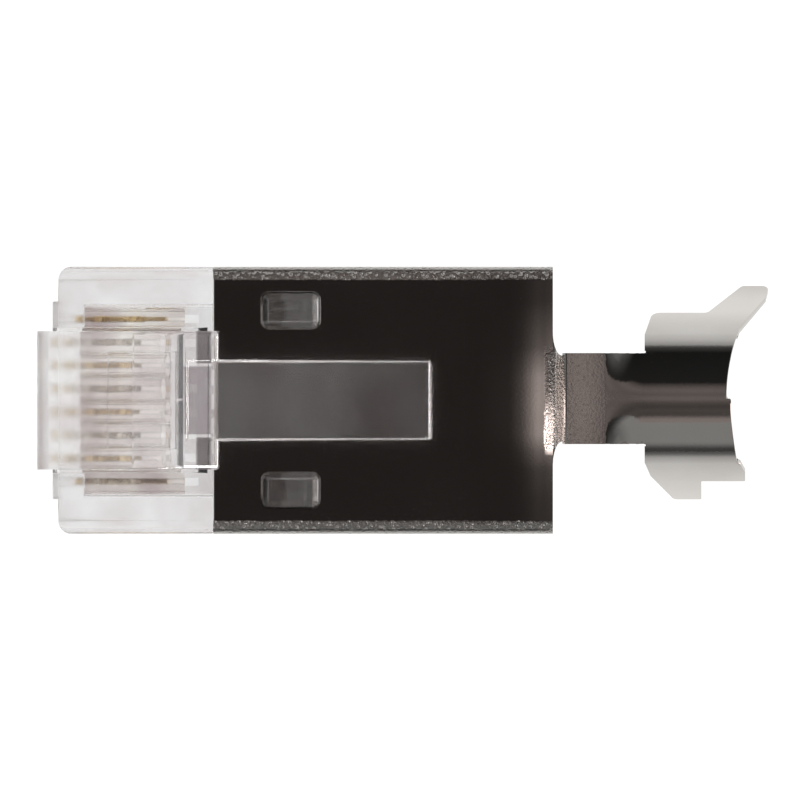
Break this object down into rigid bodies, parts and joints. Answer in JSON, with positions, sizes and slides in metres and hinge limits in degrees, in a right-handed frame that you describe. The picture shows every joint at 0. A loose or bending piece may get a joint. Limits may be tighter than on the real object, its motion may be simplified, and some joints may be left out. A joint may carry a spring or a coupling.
{
  "type": "shielded modular plug",
  "caption": "Shielded modular plug: clear latching nose, gold contacts, folded metal shield with a crimp tail for the cable.",
  "frame": {"origin": "middle of the plug body's front face, on the plane of the contact side, where the plug enters a socket", "axes": "+X from the nose to the crimp tail, +Z from the contact side up to the latch side, +Y across the contacts towards the hooked wing"},
  "size_m": [0.032, 0.0116, 0.0097],
  "materials": {
    "clear_plastic": "clear moulded polycarbonate, polished",
    "load_bar_plastic": "clear moulded polycarbonate, slightly hazy",
    "nickel_plate": "bright nickel plate on copper alloy sheet",
    "gold_plate": "gold plate on phosphor bronze"
  },
  "bodies": {
    "plug": {"housing": "clear_plastic", "load_bar": "load_bar_plastic", "shield": "nickel_plate", "contact_1": "gold_plate", "contact_2": "gold_plate", "contact_3": "gold_plate", "contact_4": "gold_plate", "contact_5": "gold_plate", "contact_6": "gold_plate", "contact_7": "gold_plate", "contact_8": "gold_plate"},
    "latch": {"latch": "clear_plastic"}
  },
  "joints": [
    {"name": "latch_flex", "type": "hinge", "parent": "plug", "child": "latch", "pos_m": [-0.00018, 0, 0.00535], "axis": [0, 1, 0], "range_deg": [0, 6], "stiffness_Nm_per_rad": 0.6}
  ]
}
